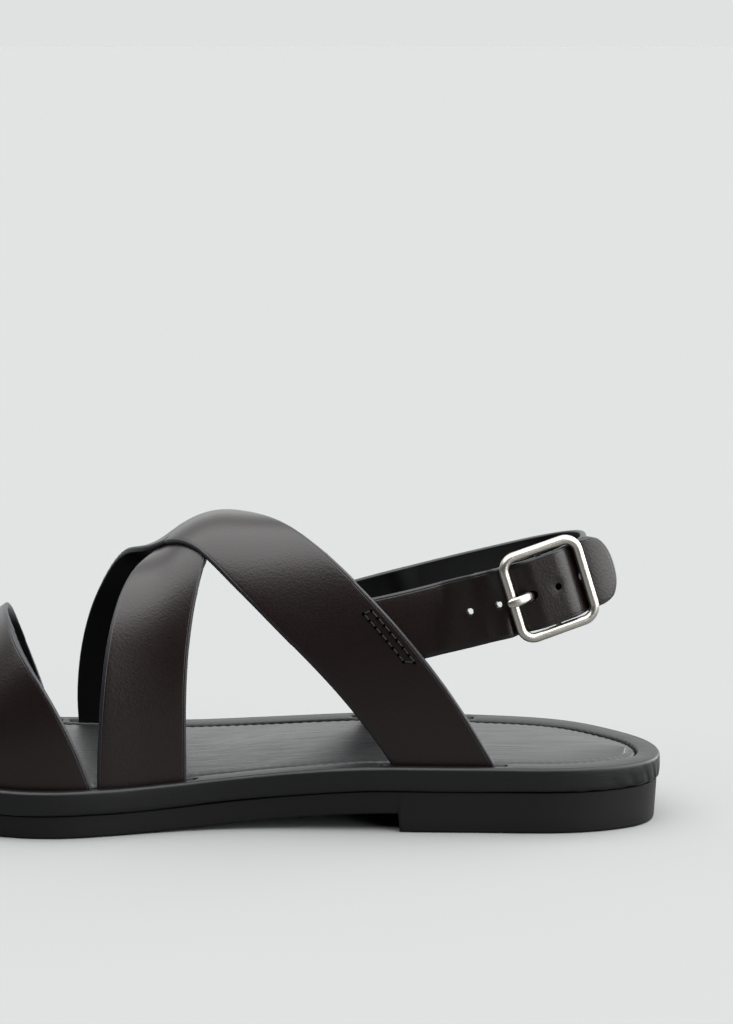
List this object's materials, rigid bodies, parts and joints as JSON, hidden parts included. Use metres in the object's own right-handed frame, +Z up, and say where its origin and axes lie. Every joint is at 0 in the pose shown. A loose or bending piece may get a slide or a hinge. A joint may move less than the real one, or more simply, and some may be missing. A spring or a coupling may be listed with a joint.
{
  "type": "cross strap sandal",
  "caption": "Left flat leather sandal with crossing instep straps, a toe strap and a buckled heel sling on a wrapped footbed and rubber sole.",
  "frame": {"origin": "on the floor, under the centre of the sole's box", "axes": "+X from the heel to the toe, +Y to the outer side of the foot, where the buckle is, +Z up"},
  "size_m": [0.29, 0.0979, 0.1038],
  "materials": {
    "rubber": "matt black",
    "wrap_leather": "satin black",
    "strap_leather": "satin dark brown",
    "nickel": "satin nickel"
  },
  "bodies": {
    "root": {"outsole": "rubber", "midsole": "wrap_leather", "insole": "wrap_leather", "upper": "strap_leather", "toe_strap": "strap_leather", "ankle_strap": "strap_leather", "heel_strap": "strap_leather", "buckle": "nickel", "prong": "nickel"}
  },
  "joints": []
}
